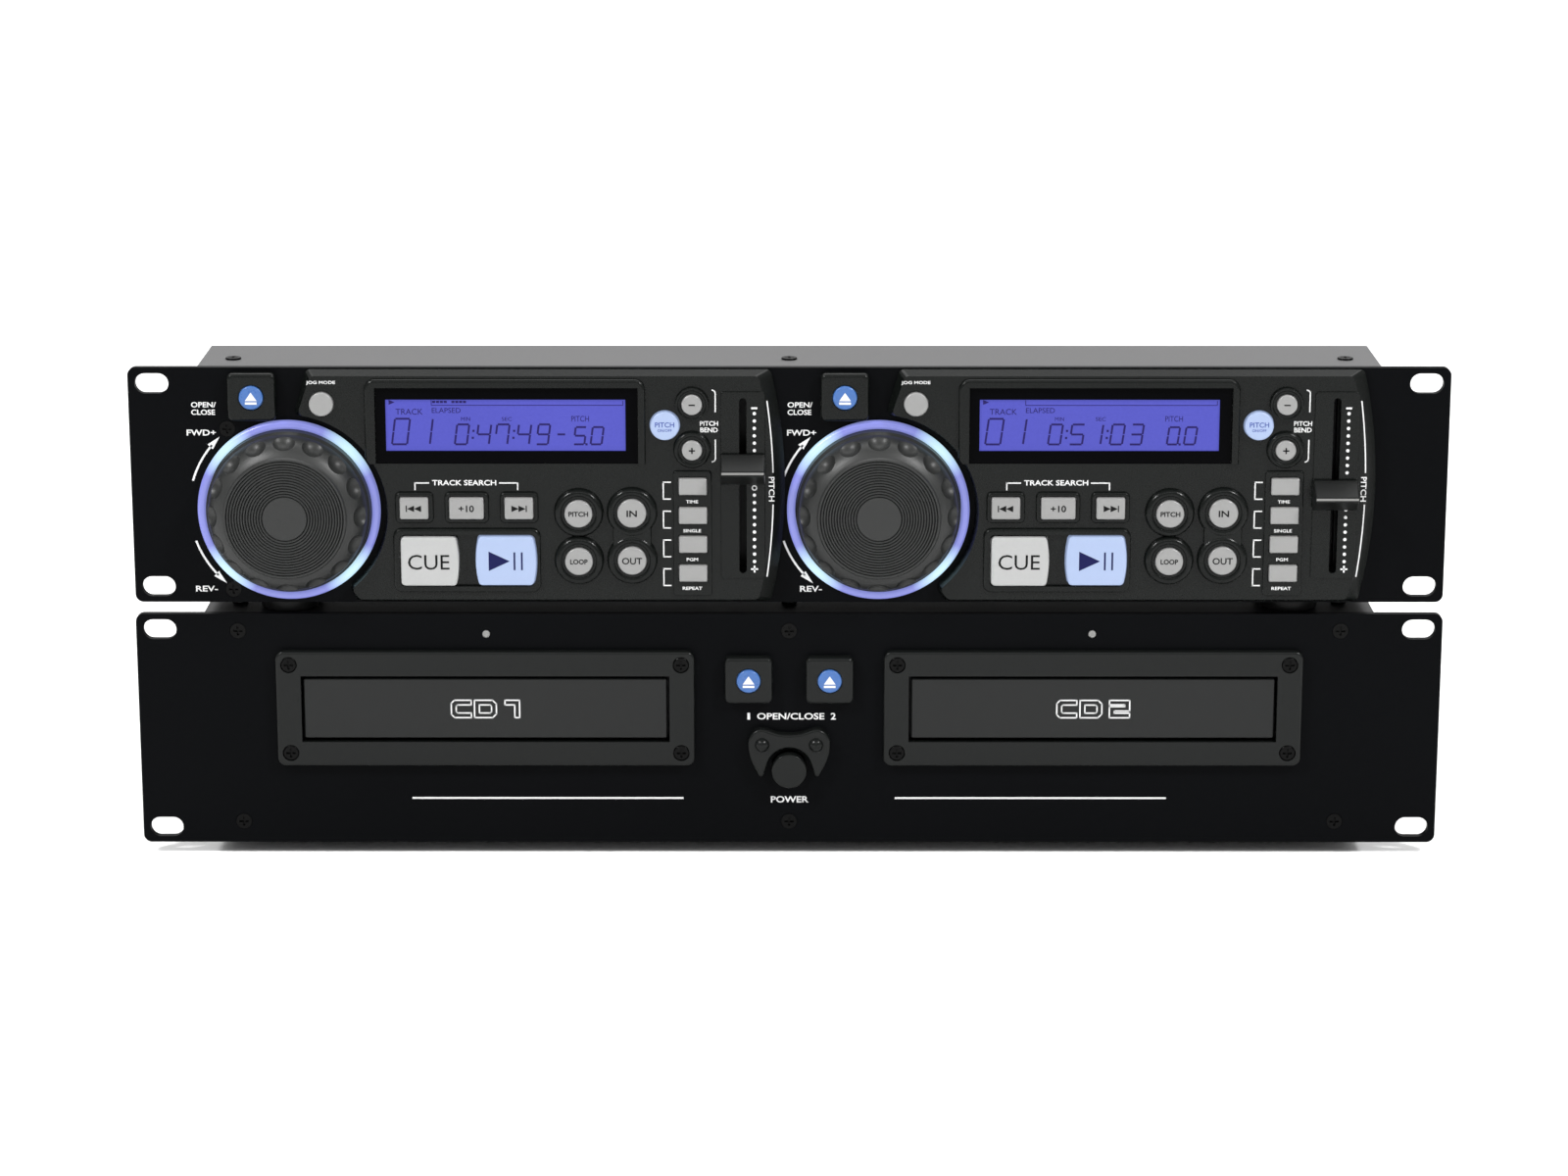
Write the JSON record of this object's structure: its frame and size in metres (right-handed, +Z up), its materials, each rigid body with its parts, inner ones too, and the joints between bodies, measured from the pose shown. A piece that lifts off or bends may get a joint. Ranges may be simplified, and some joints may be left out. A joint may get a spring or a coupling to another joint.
{
  "type": "dual disc player",
  "caption": "Rack-mount disc player: a drive unit with disc trays and, on it, a control unit with jog wheels, displays, pitch faders and lit keys.",
  "frame": {"origin": "middle of the footprint, on the surface that the lower feet stand on", "axes": "+X right seen from the front, +Y back, +Z up"},
  "size_m": [0.4826, 0.278, 0.1849],
  "materials": {
    "panel_paint": "satin black powder coat",
    "case_paint": "fine textured black coat",
    "cover_paint": "fine textured dark grey coat",
    "bezel_plastic": "satin charcoal moulding",
    "fascia_plastic": "satin charcoal moulding",
    "loader_plastic": "plain moulded black",
    "tray_plastic": "satin charcoal moulding",
    "wheel_plastic": "matt dark grey moulding",
    "fader_plastic": "satin black moulding",
    "grey_key": "light warm grey keys",
    "lit_key": "translucent keys lit from behind",
    "blue_key": "translucent blue keys",
    "clear_plastic": "clear and tinted mouldings",
    "boards": "green boards with black sockets",
    "black_screws": "blackened steel",
    "rubber": "black rubber feet, blackened screws"
  },
  "bodies": {
    "root": {"drive_front_panel": "panel_paint", "drive_chassis": "case_paint", "drive_top_cover": "case_paint", "drive_bezels": "bezel_plastic", "disc_loaders": "loader_plastic", "drive_electronics": "boards", "drive_screws": "black_screws", "drive_feet": "rubber"},
    "control_unit": {"control_front_panel": "panel_paint", "control_fascias": "fascia_plastic", "control_chassis": "case_paint", "control_top_cover": "cover_paint", "control_lenses": "clear_plastic", "control_electronics": "boards", "control_feet_and_screws": "rubber"},
    "disc_tray_1": {"disc_tray_1": "tray_plastic"},
    "disc_tray_2": {"disc_tray_2": "tray_plastic"},
    "left_jog_wheel": {"left_jog_wheel": "wheel_plastic"},
    "right_jog_wheel": {"right_jog_wheel": "wheel_plastic"},
    "left_pitch_fader": {"left_pitch_fader": "fader_plastic"},
    "right_pitch_fader": {"right_pitch_fader": "fader_plastic"},
    "power_button": {"power_button": "bezel_plastic"},
    "drive_open_button_1": {"drive_open_button_1": "blue_key"},
    "drive_open_button_2": {"drive_open_button_2": "blue_key"},
    "left_open_button": {"left_open_button": "blue_key"},
    "left_back_button": {"left_back_button": "grey_key"},
    "left_skip_ten_button": {"left_skip_ten_button": "grey_key"},
    "left_forward_button": {"left_forward_button": "grey_key"},
    "left_cue_button": {"left_cue_button": "grey_key"},
    "left_play_button": {"left_play_button": "lit_key"},
    "left_pitch_button": {"left_pitch_button": "grey_key"},
    "left_loop_button": {"left_loop_button": "grey_key"},
    "left_in_button": {"left_in_button": "grey_key"},
    "left_out_button": {"left_out_button": "grey_key"},
    "left_pitch_on_button": {"left_pitch_on_button": "lit_key"},
    "left_bend_down_button": {"left_bend_down_button": "grey_key"},
    "left_bend_up_button": {"left_bend_up_button": "grey_key"},
    "left_time_button": {"left_time_button": "grey_key"},
    "left_single_button": {"left_single_button": "grey_key"},
    "left_program_button": {"left_program_button": "grey_key"},
    "left_repeat_button": {"left_repeat_button": "grey_key"},
    "left_jog_mode_button": {"left_jog_mode_button": "grey_key"},
    "right_open_button": {"right_open_button": "blue_key"},
    "right_back_button": {"right_back_button": "grey_key"},
    "right_skip_ten_button": {"right_skip_ten_button": "grey_key"},
    "right_forward_button": {"right_forward_button": "grey_key"},
    "right_cue_button": {"right_cue_button": "grey_key"},
    "right_play_button": {"right_play_button": "lit_key"},
    "right_pitch_button": {"right_pitch_button": "grey_key"},
    "right_loop_button": {"right_loop_button": "grey_key"},
    "right_in_button": {"right_in_button": "grey_key"},
    "right_out_button": {"right_out_button": "grey_key"},
    "right_pitch_on_button": {"right_pitch_on_button": "lit_key"},
    "right_bend_down_button": {"right_bend_down_button": "grey_key"},
    "right_bend_up_button": {"right_bend_up_button": "grey_key"},
    "right_time_button": {"right_time_button": "grey_key"},
    "right_single_button": {"right_single_button": "grey_key"},
    "right_program_button": {"right_program_button": "grey_key"},
    "right_repeat_button": {"right_repeat_button": "grey_key"},
    "right_jog_mode_button": {"right_jog_mode_button": "grey_key"}
  },
  "joints": [
    {"name": "control_unit_lift", "type": "slide", "parent": "root", "child": "control_unit", "axis": [0, 0, 1], "range_m": [0, 0.12]},
    {"name": "disc_tray_1_slide", "type": "slide", "parent": "root", "child": "disc_tray_1", "axis": [0, -1, 0], "range_m": [0, 0.14]},
    {"name": "disc_tray_2_slide", "type": "slide", "parent": "root", "child": "disc_tray_2", "axis": [0, -1, 0], "range_m": [0, 0.14]},
    {"name": "left_jog_wheel_spin", "type": "hinge", "parent": "control_unit", "child": "left_jog_wheel", "pos_m": [-0.1835, -0.1225, 0.13185], "axis": [0, 1, 0], "continuous": true},
    {"name": "right_jog_wheel_spin", "type": "hinge", "parent": "control_unit", "child": "right_jog_wheel", "pos_m": [0.0327, -0.1225, 0.13185], "axis": [0, 1, 0], "continuous": true},
    {"name": "left_pitch_fader_slide", "type": "slide", "parent": "control_unit", "child": "left_pitch_fader", "axis": [0, 0, 1], "range_m": [-0.03655, 0.02345]},
    {"name": "right_pitch_fader_slide", "type": "slide", "parent": "control_unit", "child": "right_pitch_fader", "axis": [0, 0, 1], "range_m": [-0.02695, 0.03305]},
    {"name": "power_button_press", "type": "slide", "parent": "root", "child": "power_button", "axis": [0, 1, 0], "range_m": [0, 0.0008], "stiffness_N_per_m": 300, "springref_m": -0.0005},
    {"name": "drive_open_button_1_press", "type": "slide", "parent": "root", "child": "drive_open_button_1", "axis": [0, 1, 0], "range_m": [0, 0.0008], "stiffness_N_per_m": 300, "springref_m": -0.0005},
    {"name": "drive_open_button_2_press", "type": "slide", "parent": "root", "child": "drive_open_button_2", "axis": [0, 1, 0], "range_m": [0, 0.0008], "stiffness_N_per_m": 300, "springref_m": -0.0005},
    {"name": "left_open_button_press", "type": "slide", "parent": "control_unit", "child": "left_open_button", "axis": [0, 1, 0], "range_m": [0, 0.0008], "stiffness_N_per_m": 300, "springref_m": -0.0005},
    {"name": "left_back_button_press", "type": "slide", "parent": "control_unit", "child": "left_back_button", "axis": [0, 1, 0], "range_m": [0, 0.0008], "stiffness_N_per_m": 300, "springref_m": -0.0005},
    {"name": "left_skip_ten_button_press", "type": "slide", "parent": "control_unit", "child": "left_skip_ten_button", "axis": [0, 1, 0], "range_m": [0, 0.0008], "stiffness_N_per_m": 300, "springref_m": -0.0005},
    {"name": "left_forward_button_press", "type": "slide", "parent": "control_unit", "child": "left_forward_button", "axis": [0, 1, 0], "range_m": [0, 0.0008], "stiffness_N_per_m": 300, "springref_m": -0.0005},
    {"name": "left_cue_button_press", "type": "slide", "parent": "control_unit", "child": "left_cue_button", "axis": [0, 1, 0], "range_m": [0, 0.0008], "stiffness_N_per_m": 300, "springref_m": -0.0005},
    {"name": "left_play_button_press", "type": "slide", "parent": "control_unit", "child": "left_play_button", "axis": [0, 1, 0], "range_m": [0, 0.0008], "stiffness_N_per_m": 300, "springref_m": -0.0005},
    {"name": "left_pitch_button_press", "type": "slide", "parent": "control_unit", "child": "left_pitch_button", "axis": [0, 1, 0], "range_m": [0, 0.0008], "stiffness_N_per_m": 300, "springref_m": -0.0005},
    {"name": "left_loop_button_press", "type": "slide", "parent": "control_unit", "child": "left_loop_button", "axis": [0, 1, 0], "range_m": [0, 0.0008], "stiffness_N_per_m": 300, "springref_m": -0.0005},
    {"name": "left_in_button_press", "type": "slide", "parent": "control_unit", "child": "left_in_button", "axis": [0, 1, 0], "range_m": [0, 0.0008], "stiffness_N_per_m": 300, "springref_m": -0.0005},
    {"name": "left_out_button_press", "type": "slide", "parent": "control_unit", "child": "left_out_button", "axis": [0, 1, 0], "range_m": [0, 0.0008], "stiffness_N_per_m": 300, "springref_m": -0.0005},
    {"name": "left_pitch_on_button_press", "type": "slide", "parent": "control_unit", "child": "left_pitch_on_button", "axis": [0, 1, 0], "range_m": [0, 0.0008], "stiffness_N_per_m": 300, "springref_m": -0.0005},
    {"name": "left_bend_down_button_press", "type": "slide", "parent": "control_unit", "child": "left_bend_down_button", "axis": [0, 1, 0], "range_m": [0, 0.0008], "stiffness_N_per_m": 300, "springref_m": -0.0005},
    {"name": "left_bend_up_button_press", "type": "slide", "parent": "control_unit", "child": "left_bend_up_button", "axis": [0, 1, 0], "range_m": [0, 0.0008], "stiffness_N_per_m": 300, "springref_m": -0.0005},
    {"name": "left_time_button_press", "type": "slide", "parent": "control_unit", "child": "left_time_button", "axis": [0, 1, 0], "range_m": [0, 0.0008], "stiffness_N_per_m": 300, "springref_m": -0.0005},
    {"name": "left_single_button_press", "type": "slide", "parent": "control_unit", "child": "left_single_button", "axis": [0, 1, 0], "range_m": [0, 0.0008], "stiffness_N_per_m": 300, "springref_m": -0.0005},
    {"name": "left_program_button_press", "type": "slide", "parent": "control_unit", "child": "left_program_button", "axis": [0, 1, 0], "range_m": [0, 0.0008], "stiffness_N_per_m": 300, "springref_m": -0.0005},
    {"name": "left_repeat_button_press", "type": "slide", "parent": "control_unit", "child": "left_repeat_button", "axis": [0, 1, 0], "range_m": [0, 0.0008], "stiffness_N_per_m": 300, "springref_m": -0.0005},
    {"name": "left_jog_mode_button_press", "type": "slide", "parent": "control_unit", "child": "left_jog_mode_button", "axis": [0, 1, 0], "range_m": [0, 0.0008], "stiffness_N_per_m": 300, "springref_m": -0.0005},
    {"name": "right_open_button_press", "type": "slide", "parent": "control_unit", "child": "right_open_button", "axis": [0, 1, 0], "range_m": [0, 0.0008], "stiffness_N_per_m": 300, "springref_m": -0.0005},
    {"name": "right_back_button_press", "type": "slide", "parent": "control_unit", "child": "right_back_button", "axis": [0, 1, 0], "range_m": [0, 0.0008], "stiffness_N_per_m": 300, "springref_m": -0.0005},
    {"name": "right_skip_ten_button_press", "type": "slide", "parent": "control_unit", "child": "right_skip_ten_button", "axis": [0, 1, 0], "range_m": [0, 0.0008], "stiffness_N_per_m": 300, "springref_m": -0.0005},
    {"name": "right_forward_button_press", "type": "slide", "parent": "control_unit", "child": "right_forward_button", "axis": [0, 1, 0], "range_m": [0, 0.0008], "stiffness_N_per_m": 300, "springref_m": -0.0005},
    {"name": "right_cue_button_press", "type": "slide", "parent": "control_unit", "child": "right_cue_button", "axis": [0, 1, 0], "range_m": [0, 0.0008], "stiffness_N_per_m": 300, "springref_m": -0.0005},
    {"name": "right_play_button_press", "type": "slide", "parent": "control_unit", "child": "right_play_button", "axis": [0, 1, 0], "range_m": [0, 0.0008], "stiffness_N_per_m": 300, "springref_m": -0.0005},
    {"name": "right_pitch_button_press", "type": "slide", "parent": "control_unit", "child": "right_pitch_button", "axis": [0, 1, 0], "range_m": [0, 0.0008], "stiffness_N_per_m": 300, "springref_m": -0.0005},
    {"name": "right_loop_button_press", "type": "slide", "parent": "control_unit", "child": "right_loop_button", "axis": [0, 1, 0], "range_m": [0, 0.0008], "stiffness_N_per_m": 300, "springref_m": -0.0005},
    {"name": "right_in_button_press", "type": "slide", "parent": "control_unit", "child": "right_in_button", "axis": [0, 1, 0], "range_m": [0, 0.0008], "stiffness_N_per_m": 300, "springref_m": -0.0005},
    {"name": "right_out_button_press", "type": "slide", "parent": "control_unit", "child": "right_out_button", "axis": [0, 1, 0], "range_m": [0, 0.0008], "stiffness_N_per_m": 300, "springref_m": -0.0005},
    {"name": "right_pitch_on_button_press", "type": "slide", "parent": "control_unit", "child": "right_pitch_on_button", "axis": [0, 1, 0], "range_m": [0, 0.0008], "stiffness_N_per_m": 300, "springref_m": -0.0005},
    {"name": "right_bend_down_button_press", "type": "slide", "parent": "control_unit", "child": "right_bend_down_button", "axis": [0, 1, 0], "range_m": [0, 0.0008], "stiffness_N_per_m": 300, "springref_m": -0.0005},
    {"name": "right_bend_up_button_press", "type": "slide", "parent": "control_unit", "child": "right_bend_up_button", "axis": [0, 1, 0], "range_m": [0, 0.0008], "stiffness_N_per_m": 300, "springref_m": -0.0005},
    {"name": "right_time_button_press", "type": "slide", "parent": "control_unit", "child": "right_time_button", "axis": [0, 1, 0], "range_m": [0, 0.0008], "stiffness_N_per_m": 300, "springref_m": -0.0005},
    {"name": "right_single_button_press", "type": "slide", "parent": "control_unit", "child": "right_single_button", "axis": [0, 1, 0], "range_m": [0, 0.0008], "stiffness_N_per_m": 300, "springref_m": -0.0005},
    {"name": "right_program_button_press", "type": "slide", "parent": "control_unit", "child": "right_program_button", "axis": [0, 1, 0], "range_m": [0, 0.0008], "stiffness_N_per_m": 300, "springref_m": -0.0005},
    {"name": "right_repeat_button_press", "type": "slide", "parent": "control_unit", "child": "right_repeat_button", "axis": [0, 1, 0], "range_m": [0, 0.0008], "stiffness_N_per_m": 300, "springref_m": -0.0005},
    {"name": "right_jog_mode_button_press", "type": "slide", "parent": "control_unit", "child": "right_jog_mode_button", "axis": [0, 1, 0], "range_m": [0, 0.0008], "stiffness_N_per_m": 300, "springref_m": -0.0005}
  ]
}
